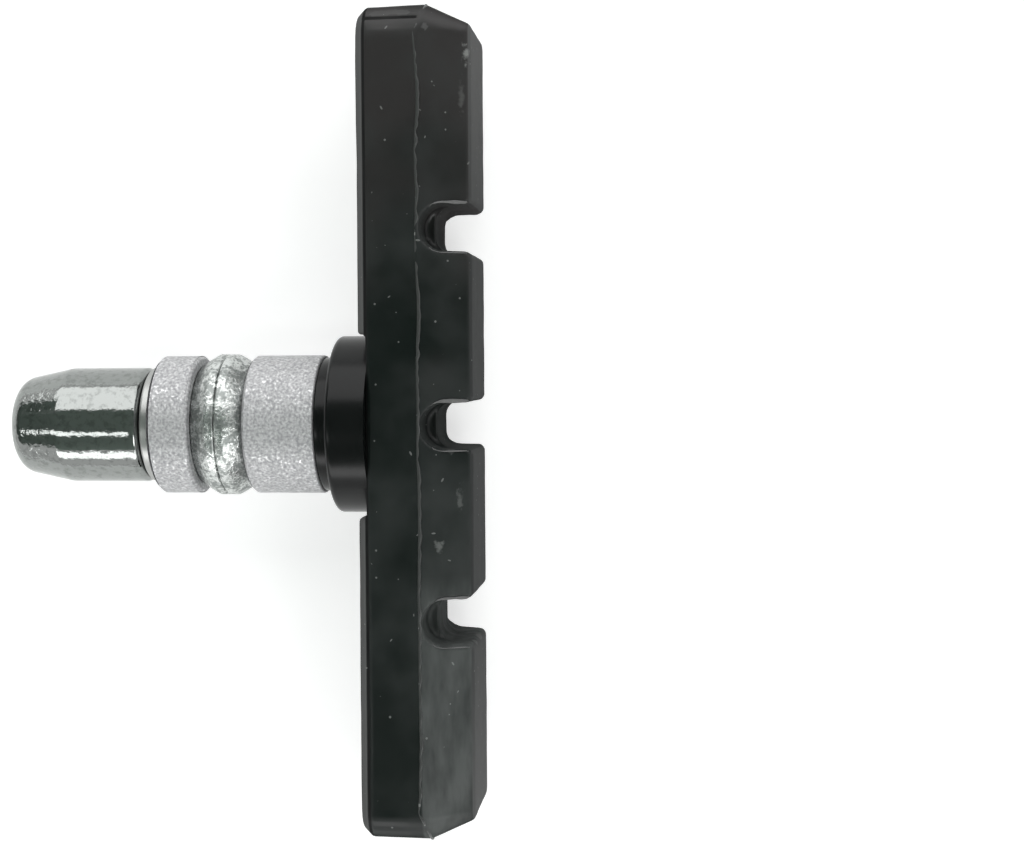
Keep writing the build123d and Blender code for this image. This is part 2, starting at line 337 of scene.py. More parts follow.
def moulded_rubber(look):
    """Moulded rubber: black with a soft sheen, patches of grey bloom and flecks of dust, with painted light:
    a green cast and paler +Y end of painted reflection, worn flanks partly painted sheen, edges and scuffs
    partly painted highlight, and painted shade in the scored lines.
    """
    material, shader, add, place, slow, smudge, tone_and_reflection, scrape, grain = new_material(
        "moulded rubber", {"Specular IOR Level": 0.28},
        (17, 1, 0.5), (4, 2, 0.5), (11, 2, 0.5), (0.5, 3, 0.6), (0.3, 3, 0.5),
    )
    low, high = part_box("shoe_block")
    surface = add("NewGeometry", out=None)
    facing = add("SeparateXYZ", {"Vector": surface["Normal"]}, out=None)
    level = add("Math", {0: facing["Z"]}, operation="ABSOLUTE")
    level = add("MapRange", {"Value": level, "From Min": 0.5, "From Max": 0.8})
    spread = add("SeparateXYZ", {"Vector": place}, out=None)
    station, along = spread["X"], spread["Y"]

    # Slow patches of bloom with smudges inside them, and a green cast that drifts along Y into paler rubber
    # at the +Y end: partly random tone, partly painted reflection
    smooth = {"interpolation_type": "SMOOTHSTEP"}
    bloom = add("Math", {0: smudge, 1: 0.45, 2: slow}, operation="MULTIPLY_ADD")
    bloom = add("MapRange", {"Value": bloom, "From Min": 0.68, "From Max": 1.04}, **smooth)
    tone_and_reflection = add("MapRange", {"Value": tone_and_reflection, "To Min": 0.25, "To Max": 0.75})
    tone_and_reflection = add("Math", {0: along, 1: REFLECTION_DRIFT, 2: tone_and_reflection}, operation="MULTIPLY_ADD")
    tone_and_reflection = add("MapRange", {"Value": tone_and_reflection, "From Min": 0.56, "From Max": 0.82}, **smooth)

    # The slanted flanks are painted grey in smears behind the last notch, and faintly as far as the middle:
    # partly wear, partly painted sheen
    notch_end, parting = low.y + LAST_NOTCH_END, low.x + BACK_DEPTH
    wear_and_sheen = add("MapRange", {"Value": along, "From Min": notch_end + WEAR_AND_SHEEN_BLEND, "From Max": notch_end})
    faint = add("MapRange", {"Value": along, "From Min": 0.1 * low.y, "From Max": notch_end, "To Max": 0.15})
    wear_and_sheen = add("Math", {0: wear_and_sheen, 1: faint}, operation="MAXIMUM")
    slanted = add("MapRange", {"Value": station, "From Min": parting, "From Max": parting + PARTING_BLEND})
    smear = add("VectorMath", {0: place, 1: (1.0, 0.3, 1.0)}, operation="MULTIPLY")
    smear = add("TexNoise", {"Vector": smear, "Scale": per_mm(1.6), "Detail": 3, "Roughness": 0.55})
    smear = add("MapRange", {"Value": smear, "From Min": 0.36, "From Max": 0.62, "To Min": 0.35})
    for share in (slanted, smear):
        wear_and_sheen = add("Math", {0: wear_and_sheen, 1: share}, operation="MULTIPLY")

    # Matt friction face, palest at its ends
    face_start, face_end = (high.x - depth for depth in FACE_BLEND)
    on_face = add("MapRange", {"Value": station, "From Min": face_start, "From Max": face_end})
    ends = add("Math", {0: along}, operation="ABSOLUTE")
    ends = add("MapRange", {"Value": ends, "From Min": 0.4 * high.y, "From Max": high.y})
    face = add("Mix", {0: ends, 6: look.face_rubber, 7: look.rubbed_and_highlight}, 2, data_type="RGBA")

    # Painted shade in the lines scored into the straight back
    off_back = add("MapRange", {"Value": facing["X"], "From Min": -0.95, "From Max": -0.8})
    straight = add("Math", {0: 1.0, 1: slanted}, operation="SUBTRACT")
    groove_edge, groove_floor = SCORE_SHADE_BLEND
    lines = []
    for across, inset in ((station, low.x + SCORE_INSET), (along, high.y - END_SCORE_INSET)):
        line = add("Math", {0: across, 1: inset}, operation="SUBTRACT")
        line = add("Math", {0: line}, operation="ABSOLUTE")
        lines.append(add("MapRange", {"Value": line, "From Min": groove_edge, "From Max": groove_floor}))
    groove_shade = add("Math", {0: lines[0], 1: lines[1]}, operation="MAXIMUM")
    for share in (off_back, straight):
        groove_shade = add("Math", {0: groove_shade, 1: share}, operation="MULTIPLY")

    # Back chamfer and edges made pale: painted highlight, partly rubbed wear
    chamfer_end, chamfer_start = (low.x + depth for depth in CHAMFER_HIGHLIGHT_BLEND)
    chamfer_highlight = add("MapRange", {"Value": station, "From Min": chamfer_end, "From Max": chamfer_start})
    chamfer_highlight = add("Math", {0: chamfer_highlight, 1: off_back}, operation="MULTIPLY")
    # Painted highlight along the convex edges, broken up by the smudges
    edge = surface["Pointiness"]
    edge = add("MapRange", {"Value": edge, "From Min": 0.52, "From Max": 0.59, "To Max": 0.9})
    edge = add("Math", {0: edge, 1: smudge}, operation="MULTIPLY")
    edge = add("Math", {0: edge, 1: chamfer_highlight}, operation="MAXIMUM")

    # Pale marks on one flank, partly scuffs and partly painted highlight, broken up by a fine noise
    scuff_highlights = []
    for centre, reach, share in SCUFFS_AND_HIGHLIGHTS:
        scuff_highlight = add("VectorMath", {0: place, 1: [size * MM for size in centre]}, operation="SUBTRACT")
        scuff_highlight = add("VectorMath", {0: scuff_highlight, 1: [per_mm(size) for size in reach]}, operation="MULTIPLY")
        scuff_highlight = add("VectorMath", {0: scuff_highlight}, "Value", operation="LENGTH")
        scuff_highlight = add("Math", {0: scuff_highlight, 1: -0.35, 2: scrape}, operation="MULTIPLY_ADD")
        scuff_highlights.append(add("MapRange", {"Value": scuff_highlight, "From Min": 0.2, "From Max": 0.46, "To Max": share}))

    # Round specks on every side, and longer flecks that lie any way round on the flanks
    speck = round_dots(add, place, 1.0, 0.52, 0.11)
    spots = add("TexVoronoi", {"Vector": place, "Scale": per_mm(2.2)}, out=None, voronoi_dimensions="2D")
    pick = add("SeparateColor", {"Color": spots["Color"]}, out=None)
    offset = add("VectorMath", {0: place, 1: spots["Position"]}, operation="SUBTRACT")
    turn = add("Math", {0: pick["Red"], 1: 2 * math.pi}, operation="MULTIPLY")
    offset = add("VectorRotate", {"Vector": offset, "Angle": turn}, rotation_type="Z_AXIS")
    offset = add("VectorMath", {0: offset, 1: (per_mm(0.2), per_mm(0.08), 0)}, operation="MULTIPLY")
    length = add("VectorMath", {0: offset}, "Value", operation="LENGTH")
    reach = add("MapRange", {"Value": pick["Green"], "From Min": 0.68})
    fleck = add("Math", {0: length, 1: reach}, operation="LESS_THAN")
    fleck = add("Math", {0: fleck, 1: level}, operation="MULTIPLY")
    mark = add("Math", {0: speck, 1: fleck}, operation="MAXIMUM")
    mark = add("Math", {0: mark, 1: 0.33}, operation="MULTIPLY")

    # Coats of colour, each over the ones before it
    skin = look.rubber
    for share, colour in (
        (tone_and_reflection, look.pale_end_rubber), (bloom, look.bloom), (wear_and_sheen, look.wear_and_sheen), (on_face, face),
        # The scuffs take the dust colour, partly as painted highlight
        (groove_shade, look.groove_shade), (edge, look.rubbed_and_highlight), *((dusty, look.dust) for dusty in (*scuff_highlights, mark)),
    ):
        skin = add("Mix", {0: share, 6: skin, 7: colour}, 2, data_type="RGBA")

    # The flanks are the smoothest faces
    matt = add("MapRange", {"Value": bloom, "To Min": look.roughness, "To Max": look.roughness + 0.15})
    cloud = {"Value": smudge, "From Min": 0.34, "From Max": 0.66, "To Min": -0.03, "To Max": 0.06}
    cloud = add("MapRange", cloud, **smooth)
    matt = add("Math", {0: matt, 1: cloud}, operation="ADD")
    for share in (mark, on_face, edge, groove_shade):
        matt = add("Math", {0: share, 1: 0.4, 2: matt}, operation="MULTIPLY_ADD", use_clamp=True)
    sides = add("MapRange", {"Value": level, "To Min": 0.6, "To Max": 0.0})
    matt = add("Math", {0: matt, 1: sides}, operation="ADD", use_clamp=True)
    fine = add("Bump", {"Height": grain, "Strength": 0.14, "Distance": 0.02 * MM})
    lumps = add("Bump", {"Height": slow, "Strength": 0.35, "Distance": 0.5 * MM, "Normal": fine})
    set_inputs(shader, {"Base Color": skin, "Roughness": matt, "Normal": lumps})
    return material


def torn_rubber(look, name, colour):
    """Torn rubber of the mould's beads: paler than the block, with pale dots where it has frayed. On the
    notch lips its paler colour is a painted highlight.
    """
    material, shader, add, place, tear = new_material(name, {"Roughness": 0.36}, (0.35, 3, 0.5))
    frayed = round_dots(add, place, 0.6, 0.4, 0.26)
    frayed = add("Math", {0: frayed, 1: 0.5}, operation="MULTIPLY")
    tint = add("Mix", {0: frayed, 6: colour, 7: look.dust}, 2, data_type="RGBA")
    bump = add("Bump", {"Height": tear, "Strength": 0.4, "Distance": 0.06 * MM})
    set_inputs(shader, {"Base Color": tint, "Normal": bump})
    return material


def black_collar(look):
    """Semi-gloss black collar: darker and shinier than the rubber, with faint turning rings."""
    material, shader, add, place, smudge = new_material(
        "semi-gloss black", {"Base Color": look.collar, "Specular IOR Level": 0.21}, (2.5, 4, 0.5)
    )
    matt = add("MapRange", {"Value": smudge, "To Min": 0.19, "To Max": 0.27})
    rings = {"Vector": place, "Scale": per_mm(1.2), "Distortion": 1.0, "Detail": 2}
    rings = add("TexWave", rings, "Fac", bands_direction="X")
    bump = add("Bump", {"Height": rings, "Strength": 0.05, "Distance": 0.01 * MM})
    set_inputs(shader, {"Roughness": matt, "Normal": bump})
    return material


def bright_chrome(look):
    """Bright chrome plate: light and dark bands with ragged edges, a pitted nose and a base darkened with
    painted shade.
    """
    material, shader, add, place, thin, wave, pits = new_material(
        "bright chrome", {"Metallic": 1.0}, (0.6, 4, 0.65), (1.1, 4, 0.6), (0.35, 2, 0.5)
    )
    base = turned_size("cap_nut")[1]
    shoulder = base - NUT_STRAIGHT
    station = add("SeparateXYZ", {"Vector": place}, "X")
    # Painted shade: the groove at the nut's base is darkened and dulled
    unshaded, shaded = (base - depth for depth in NUT_SHADE_BLEND)
    groove_shade = add("MapRange", {"Value": station, "From Min": unshaded, "From Max": shaded})
    thin = add("MapRange", {"Value": thin, "From Min": 0.5, "From Max": 0.64})
    tint = add("Mix", {0: thin, 6: look.chrome, 7: look.dull_chrome}, 2, data_type="RGBA")
    tint = add("Mix", {0: groove_shade, 6: tint, 7: look.nut_groove_shade}, 2, data_type="RGBA")
    matt = add("MapRange", {"Value": groove_shade, "To Min": look.chrome_roughness, "To Max": 0.5})
    nose = {"From Min": shoulder, "From Max": shoulder - PITTED_LENGTH}
    depth = add("MapRange", {"Value": station, **nose, "To Min": 0.3, "To Max": 0.9})
    fine = add("Bump", {"Height": pits, "Strength": depth, "Distance": 0.03 * MM})
    bump = add("Bump", {"Height": wave, "Strength": 0.4, "Distance": 0.06 * MM, "Normal": fine})
    set_inputs(shader, {"Base Color": tint, "Roughness": matt, "Normal": bump})
    return material


def rough_zinc(look):
    """Bright zinc plate on a rough blank: white highlights broken up by dull patches and tiny facets."""
    material, shader, add, _, patch, facets = new_material(
        "bright rough zinc", {"Metallic": 1.0}, (1.2, 3, 0.6), (0.3, 3, 0.65)
    )
    bright = add("Math", {0: patch, 1: facets}, operation="ADD")
    bright = add("MapRange", {"Value": bright, "From Min": 0.88, "From Max": 1.12})
    tint = add("Mix", {0: bright, 6: look.dull_zinc, 7: look.zinc}, 2, data_type="RGBA")
    matt = add("MapRange", {"Value": bright, "To Min": 0.4, "To Max": 0.24})
    fine = add("Bump", {"Height": facets, "Strength": 0.7, "Distance": 0.08 * MM})
    bump = add("Bump", {"Height": patch, "Strength": 0.4, "Distance": 0.08 * MM, "Normal": fine})
    set_inputs(shader, {"Base Color": tint, "Roughness": matt, "Normal": bump})
    return material


def matt_silver(look):
    """Fine-grained matt silver: a pale even ring with a sparkle of tiny facets."""
    material, shader, add, _, grain = new_material("fine-grained silver", {"Metallic": 1.0}, (0.23, 2, 0.5))
    bright = add("MapRange", {"Value": grain, "From Min": 0.34, "From Max": 0.66})
    tint = add("Mix", {0: bright, 6: look.dull_silver, 7: look.silver}, 2, data_type="RGBA")
    sparkle = {"Value": grain, "From Min": 0.62, "From Max": 0.7, "To Min": 0.72, "To Max": 0.3}
    sparkle = add("MapRange", sparkle)
    bump = add("Bump", {"Height": grain, "Strength": 0.5, "Distance": 0.08 * MM})
    set_inputs(shader, {"Base Color": tint, "Roughness": sparkle, "Normal": bump})
    return material


def plated_steel(look):
    """Plain plated steel: grey metal with a dull, slightly uneven shine."""
    material, shader, add, _, patch = new_material(
        "plated steel", {"Base Color": look.steel, "Metallic": 1.0}, (1.3, 4, 0.5)
    )
    matt = add("MapRange", {"Value": patch, "To Min": 0.28, "To Max": 0.4})
    set_inputs(shader, {"Roughness": matt})
    return material


def settle(bm):
    """Merges doubled vertices and turns every face outward."""
    bmesh.ops.remove_doubles(bm, verts=bm.verts, dist=MERGE_DISTANCE)
    bmesh.ops.recalc_face_normals(bm, faces=bm.faces)


def radius_of(point):
    """Distance of a point from the post's axis."""
    return math.hypot(point.y, point.z)


def ring_edges(bm, station, radius):
    """Edges of the ring at this station and radius."""

    def on_ring(point):
        return abs(point.x - station) < RING_REACH and abs(radius_of(point) - radius) < RING_REACH

    return [edge for edge in bm.edges if all(on_ring(v.co) for v in edge.verts)]


def turned_solid(section, closed=True, grid=0.5 * MM, side=1):
    """Turns (station, radius) corners on a side of the origin round the post, in rings within the grid."""
    bm = bmesh.new()
    corners = [bm.verts.new((side * station, 0, radius)) for station, radius in section]
    followers = corners[1:] + corners[:1] if closed else corners[1:]
    lines = [bm.edges.new(pair) for pair in zip(corners, followers)]
    for line in lines:
        cuts = int(line.calc_length() / grid)
        if cuts:
            bmesh.ops.subdivide_edges(bm, edges=[line], cuts=cuts)
    bmesh.ops.spin(
        bm, geom=bm.verts[:] + bm.edges[:], cent=(0, 0, 0), axis=(1, 0, 0), angle=2 * math.pi,
        steps=SPIN_STEPS, use_merge=True,
    )
    settle(bm)
    return bm


def soften(bm, station, radius, offset, segments=4):
    """Rounds the ring edge at this station and radius."""
    edges = ring_edges(bm, station, radius)
    if not edges:
        raise RuntimeError(f"no ring edge at {station:.6f}, {radius:.6f}")
    bmesh.ops.bevel(
        bm, geom=edges, offset=offset, offset_type="OFFSET", segments=segments, profile=0.5, affect="EDGES",
        material=-1,
    )


def roughen(bm, height, size, seed):
    """Moves the surface in and out by a soft noise of this height and size."""
    bm.normal_update()
    shift = Vector((seed, 2 * seed, 3 * seed))
    for vert in bm.verts:
        vert.co += vert.normal * (height * noise.noise(vert.co / size + shift))


def linked_object(name, data):
    """New object of some data, linked to the scene."""
    made = bpy.data.objects.new(name, data)
    bpy.context.scene.collection.objects.link(made)
    return made


def mesh_object(name, bm):
    """New object of a bmesh, which is freed."""
    mesh = bpy.data.meshes.new(name)
    bm.to_mesh(mesh)
    bm.free()
    return linked_object(name, mesh)


def evaluated_bmesh(form):
    """Mesh of an object as its modifiers or its bevel leave it."""
    mesh = bpy.data.meshes.new_from_object(form.evaluated_get(bpy.context.evaluated_depsgraph_get()))
    bm = bmesh.new()
    bm.from_mesh(mesh)
    bpy.data.meshes.remove(mesh)
    return bm


def add_piece(name, bm, material, body, replaced=(), sharp=math.radians(40)):
    """Makes the finished piece of a mesh, hands it to its body and hides the CAD nodes that it stands for."""
    piece = mesh_object(name, bm)
    piece.data.shade_smooth()
    piece.data.set_sharp_from_angle(angle=sharp)
    piece.data.materials.append(material)
    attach(piece, body)
    if replaced:
        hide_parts(*replaced)


def cad_copy(node):
    """Merged copy of a CAD node's mesh."""
    bm = bmesh.new()
    bm.from_mesh(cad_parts[node].data)
    settle(bm)
    return bm


def cad_points(node):
    """Corners of a CAD node's mesh."""
    return [vert.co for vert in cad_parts[node].data.vertices]


def turned_size(node):
    """Low station, high station and outer radius of a turned CAD node."""
    low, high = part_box(node)
    return low.x, high.x, high.z


def inner_radius(node):
    """Smallest radius of a turned CAD node."""
    return min(radius_of(point) for point in cad_points(node))


def ball_station(radius, height):
    """Distance from the washers' joint at which a sphere on the ball's centre is this high above the axis."""
    ball_rim = turned_size("inner_ball_washer")[2]
    centre = math.sqrt(BALL_RADIUS**2 - ball_rim**2) - BALL_RIM
    return math.sqrt(radius**2 - height**2) - centre


def ball_arc(radius, low, high, points=16):
    """Corners of a ball or cup section between two heights above the axis."""
    heights = [low + (high - low) * k / (points - 1) for k in range(points)]
    return [(ball_station(radius, height), height) for height in heights]


class BRAKESHOE_OT_block(Operator):
    """Skin the rubber block with rounded, slightly wavy moulded faces"""

    bl_idname = "brakeshoe.block"
    bl_label = "Rubber block"

    def execute(self, context):
        look = context.scene.brakeshoe_rubber
        bm = cad_copy("shoe_block")
        open_inner_faces(bm)
        faces = BVHTree.FromBMesh(bm)
        bm = voxel_skin(bm, look.skin_grid)
        for _ in range(look.skin_rounding):
            bmesh.ops.smooth_vert(
                bm, verts=bm.verts, factor=0.5, use_axis_x=True, use_axis_y=True, use_axis_z=True
            )
        draw_onto(bm, faces, SKIN_REACH)
        low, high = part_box("shoe_block")
        score_back(bm, 0, low.x + SCORE_INSET, look.back_score)
        score_back(bm, 1, high.y - END_SCORE_INSET, look.back_score)
        roughen(bm, look.waviness, SKIN_WAVES[0], seed=3)
        roughen(bm, look.waviness / 3, SKIN_WAVES[1], seed=7)
        rubber = moulded_rubber(look)
        add_piece("rubber_block", bm, rubber, "shoe", ["shoe_block"], sharp=math.pi)
        return {"FINISHED"}


def draw_onto(bm, faces, reach):
    """Draws the vertices within reach of the solid's faces back onto them, so that flat faces stay flat."""
    for vert in bm.verts:
        place, _, _, distance = faces.find_nearest(vert.co)
        if distance < reach:
            vert.co = vert.co.lerp(place, 1 - (distance / reach) ** 2)


def score_back(bm, axis, station, depth):
    """Presses a narrow line into both sides of the straight back, at this station along an axis."""
    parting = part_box("shoe_block")[0].x + BACK_DEPTH
    bm.normal_update()
    for vert in bm.verts:
        share = 1 - ((vert.co[axis] - station) / SCORE_REACH) ** 2
        if share > 0 and abs(vert.normal.z) > SCORE_LEVEL and vert.co.x < parting:
            vert.co.z -= math.copysign(depth * share, vert.normal.z)


def open_inner_faces(bm):
    """Takes out the faces round the carrier and the stud, and closes the stud's hole."""
    plate_low, plate_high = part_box("carrier_plate")
    stud_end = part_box("threaded_stud")[1].x
    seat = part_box("seat_collar")[1].x
    stud_radius = inner_radius("seat_collar")
    rivet_radius = max(radius_of(point) for point in cad_points("threaded_stud"))
    slack = 0.05 * MM

    def hidden(point):
        beside_plate = all(plate_low[k] - slack < point[k] < plate_high[k] + slack for k in range(3))
        beside_stud = radius_of(point) < stud_radius + slack and seat - slack < point.x < plate_high.x
        beside_rivet = radius_of(point) < rivet_radius + slack and plate_low.x < point.x < stud_end + slack
        return beside_plate or beside_stud or beside_rivet

    inner = [face for face in bm.faces if hidden(face.calc_center_median())]
    bmesh.ops.delete(bm, geom=inner, context="FACES")
    rim = [edge for edge in bm.edges if edge.is_boundary]
    bmesh.ops.holes_fill(bm, edges=rim, sides=0)
    bmesh.ops.recalc_face_normals(bm, faces=bm.faces)


def voxel_skin(bm, grid):
    """Even skin over a closed mesh, on a grid of this size."""
    form = mesh_object("block_form", bm)
    remesh = form.modifiers.new("Skin", "REMESH")
    remesh.mode = "VOXEL"
    remesh.voxel_size = grid
    skin = evaluated_bmesh(form)
    mesh = form.data
    bpy.data.objects.remove(form)
    bpy.data.meshes.remove(mesh)
    return skin


def edge_chains(edges, inset=None):
    """Edges in a row as lists of points in order, moved by their inset, each with whether its ends meet."""
    inset = inset or {}
    left = list(edges)
    chains = []
    while left:
        loose = [v for edge in left for v in edge.verts if sum(other in left for other in v.link_edges) == 1]
        first = loose[0] if loose else left[0].verts[0]
        vert = first
        points = [vert.co + inset.get(vert, Vector())]
        while True:
            following = [edge for edge in vert.link_edges if edge in left]
            if not following:
                break
            left.remove(following[0])
            vert = following[0].other_vert(vert)
            points.append(vert.co + inset.get(vert, Vector()))
        chains.append((points[:-1], True) if vert is first else (points, False))
    return chains


def parting_edges(bm):
    """Edges where the slanted friction side meets the straight back."""
    low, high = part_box("shoe_block")
    start, end = (low.x + share * (high.x - low.x) for share in PARTING_DEPTH)
    return [
        edge for edge in bm.edges
        if len(edge.link_faces) == 2
        and PARTING_BEND[0] < edge.calc_face_angle() < PARTING_BEND[1]
        and all(start < v.co.x < end for v in edge.verts)
    ]


def notch_edges(bm, radius):
    """Edges where the slanted flanks break off into the notches, and the inset that keeps a bead out."""
    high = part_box("shoe_block")[1]
    picked, inset = [], {}
    for edge in bm.edges:
        if len(edge.link_faces) != 2 or max(abs(v.co.y) for v in edge.verts) > NOTCH_REACH * high.y:
            continue
        wall, flank = sorted(edge.link_faces, key=lambda face: abs(face.normal.z))
        slanted = flank.normal.x > FLANK_SLANT and abs(flank.normal.z) > FLANK_LEVEL
        if slanted and abs(wall.normal.z) < WALL_TURN and wall.normal.x < WALL_TURN:
            picked.append(edge)
            for vert in edge.verts:
                inset[vert] = inset.get(vert, Vector()) + (0.3 * flank.normal - wall.normal) * radius / 2
    return picked, inset


def even_points(points, closed, gap=0.2 * MM):
    """Points along a chain, no further apart than the gap."""
    ends = points[1:] + points[:1] if closed else points[1:]
    spread = []
    for start, end in zip(points, ends):
        steps = max(1, round((end - start).length / gap))
        spread += [start.lerp(end, step / steps) for step in range(steps)]
    return spread if closed else spread + [points[-1]]


def bead_mesh(chains, radius, wander=0.0, tuck=(1.0, 1.0)):
    """Mesh of thin uneven beads along chains of points. An open one is thick only along its +Y half."""
    curve = bpy.data.curves.new("bead_line", "CURVE")
    curve.dimensions = "3D"
    curve.bevel_depth = radius
    curve.bevel_resolution = 3
    curve.use_fill_caps = True
    for chain, closed in chains:
        points = even_points(chain, closed)
        middle = (min(p.y for p in points) + max(p.y for p in points)) / 2
        line = curve.splines.new("POLY")
        line.points.add(len(points) - 1)
        line.use_cyclic_u = closed
        for k, (knot, point) in enumerate(zip(line.points, points)):
            waves = Vector([noise.noise(point / size) for size in BEAD_WAVES])
            stray = wander * waves.dot(BEAD_STRAY)
            knot.co = (point.x + stray, point.y * tuck[0], point.z * tuck[1], 1)
            knot.radius = 1 + waves.dot(BEAD_SWELL)
            if not closed:
                end_share = min(k, len(points) - 1 - k) / BEAD_END_POINTS
                knot.radius *= min(1, BEAD_END + end_share) * (1 if point.y > middle else BEAD_THIN_HALF)
    bead = linked_object("bead_line", curve)
    bm = evaluated_bmesh(bead)
    bpy.data.objects.remove(bead)
    bpy.data.curves.remove(curve)
    settle(bm)
    return bm


class BRAKESHOE_OT_flash(Operator):
    """Lay the thin beads of moulding flash along the parting line and the notches"""

    bl_idname = "brakeshoe.flash"
    bl_label = "Moulding flash"

    def execute(self, context):
        look = context.scene.brakeshoe_rubber
        bm = cad_copy("shoe_block")
        parting = edge_chains(parting_edges(bm))
        lips = edge_chains(*notch_edges(bm, look.lip_radius))
        bm.free()
        if [closed for _, closed in parting] != [True]:
            raise RuntimeError("the parting line is broken")
        for name, material, colour, bead in (
            ("parting_flash", "torn rubber flash", look.flash,
             bead_mesh(parting, look.flash_radius, look.flash_wander, FLASH_TUCK)),
            # The notch lips take the painted highlight colour of the rubbed edges
            ("notch_lips", "rubber lip with painted highlight", look.rubbed_and_highlight, bead_mesh(lips, look.lip_radius)),
        ):
            add_piece(name, bead, torn_rubber(look, material, colour), "shoe", sharp=math.pi)
        return {"FINISHED"}


class BRAKESHOE_OT_collar(Operator):
    """Turn the black seat collar and its spigot"""

    bl_idname = "brakeshoe.collar"
    bl_label = "Seat collar"

    def execute(self, context):
        front, back, outer = turned_size("seat_collar")
        bore = inner_radius("seat_collar")
        points = cad_points("seat_collar")
        slack = 0.1 * MM
        spigot = max(radius_of(point) for point in points if point.x < front + slack)
        shoulder = min(point.x for point in points if radius_of(point) > spigot + slack)
        section = [(front, bore), (front, spigot), (shoulder, spigot)]
        bm = turned_solid(section + [(shoulder, outer), (back, outer), (back, bore)])
        soften(bm, shoulder, outer, COLLAR_EDGE)
        soften(bm, front, spigot, SPIGOT_EDGE, 3)
        black = black_collar(context.scene.brakeshoe_rubber)
        add_piece("black_collar", bm, black, "shoe", ["seat_collar"])
        return {"FINISHED"}


class BRAKESHOE_OT_cups(Operator):
    """Turn the two matt silver cup washers"""

    bl_idname = "brakeshoe.cups"
    bl_label = "Cup washers"

    def execute(self, context):
        silver = matt_silver(context.scene.brakeshoe_metal)
        sphere = BALL_RADIUS + BALL_CLEARANCE
        for name, node, body, side, back_edge, seed in (
            ("silver_spacer", "thick_cup_spacer", "shoe", 1, 0.2 * MM, 11),
            ("silver_cup", "thin_cup_washer", "outer_washers", -1, 1.0 * MM, 13),
        ):
            near, far, outer = turned_size(node)
            face, back = sorted((abs(near), abs(far)))
            mouth = math.sqrt(sphere**2 - (face - ball_station(sphere, 0) + sphere) ** 2)
            bore = inner_radius(node)
            section = ball_arc(sphere, bore, mouth) + [(face, outer), (back, outer), (back, bore)]
            bm = turned_solid(section, grid=0.3 * MM, side=side)
            soften(bm, side * face, outer, CUP_EDGE)
            soften(bm, side * back, outer, back_edge)
            roughen(bm, *CUP_WAVES, seed)
            add_piece(name, bm, silver, body, [node])
        return {"FINISHED"}


class BRAKESHOE_OT_balls(Operator):
    """Turn the two zinc ball washers"""

    bl_idname = "brakeshoe.balls"
    bl_label = "Ball washers"

    def execute(self, context):
        zinc = rough_zinc(context.scene.brakeshoe_metal)
        for name, node, body, side, seed in (
            ("zinc_ball_inner", "inner_ball_washer", "shoe", 1, 17),
            ("zinc_ball_outer", "outer_ball_washer", "outer_washers", -1, 19),
        ):
            bore, outer = inner_radius(node), turned_size(node)[2]
            section = ball_arc(BALL_RADIUS, bore, outer) + [(0, outer), (0, bore)]
            bm = turned_solid(section, grid=0.25 * MM, side=side)
            soften(bm, 0, outer, BALL_EDGE, 3)
            roughen(bm, *BALL_WAVES, seed)
            add_piece(name, bm, zinc, body, [node])
        return {"FINISHED"}


class BRAKESHOE_OT_washer(Operator):
    """Turn the plain washer under the nut and give the hidden carrier its steel"""

    bl_idname = "brakeshoe.washer"
    bl_label = "Flat washer"

    def execute(self, context):
        steel = plated_steel(context.scene.brakeshoe_metal)
        back, face, outer = turned_size("flat_washer")
        bore = inner_radius("flat_washer")
        bm = turned_solid([(back, bore), (back, outer), (face, outer), (face, bore)], grid=0.3 * MM)
        for station in (back, face):
            soften(bm, station, outer, WASHER_EDGE, 3)
        roughen(bm, *WASHER_WAVES, seed=23)
        add_piece("steel_washer", bm, steel, "outer_washers", ["flat_washer"])
        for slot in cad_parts["carrier_plate"].material_slots:
            slot.material = steel
        return {"FINISHED"}


def ridge(start, length, pitch, low, high):
    """Closed helical ridge of a right-hand thread, from a start along the post."""
    bm = bmesh.new()
    crest = THREAD_CREST * pitch
    section = ((0, low), (pitch / 2 - crest, high), (pitch / 2 + crest, high), (pitch, low))
    corners = [bm.verts.new((start + across, 0, radius)) for across, radius in section]
    lines = [bm.edges.new(pair) for pair in zip(corners, corners[1:] + corners[:1])]
    turns = int(length / pitch) - 1
    bmesh.ops.spin(
        bm, geom=corners + lines, cent=(0, 0, 0), axis=(1, 0, 0), dvec=(pitch / THREAD_STEPS, 0, 0),
        angle=2 * math.pi * turns, steps=THREAD_STEPS * turns,
    )
    ends = [edge for edge in bm.edges if edge.is_boundary]
    bmesh.ops.holes_fill(bm, edges=ends, sides=4)
    bmesh.ops.recalc_face_normals(bm, faces=bm.faces)
    return bm


class BRAKESHOE_OT_stud(Operator):
    """Turn the stud and cut its right-hand thread"""

    bl_idname = "brakeshoe.stud"
    bl_label = "Threaded stud"

    def execute(self, context):
        look = context.scene.brakeshoe_metal
        end, top, rivet = turned_size("threaded_stud")
        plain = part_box("thick_cup_spacer")[1].x
        plate_back, plate_front = (corner.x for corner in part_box("carrier_plate"))
        major = inner_radius("seat_collar")
        core = major - look.thread_depth
        tenon = inner_radius("carrier_plate")
        section = [(end, 0), (end, core), (plain, core), (plain, major), (plate_back, major)]
        section += [(plate_back, tenon), (plate_front, tenon), (plate_front, rivet), (top, rivet), (top, 0)]
        bm = turned_solid(section, closed=False)
        soften(bm, top, rivet, RIVET_EDGE, 1)
        thread = ridge(end, plain - end, look.thread_pitch, core - THREAD_FOOT, major)
        taper_thread(thread, end, core - THREAD_START)
        helix = bpy.data.meshes.new("thread_form")
        thread.to_mesh(helix)
        thread.free()
        bm.from_mesh(helix)
        bpy.data.meshes.remove(helix)
        steel = bpy.data.materials["plated steel"]
        add_piece("steel_stud", bm, steel, "shoe", ["threaded_stud"])
        return {"FINISHED"}


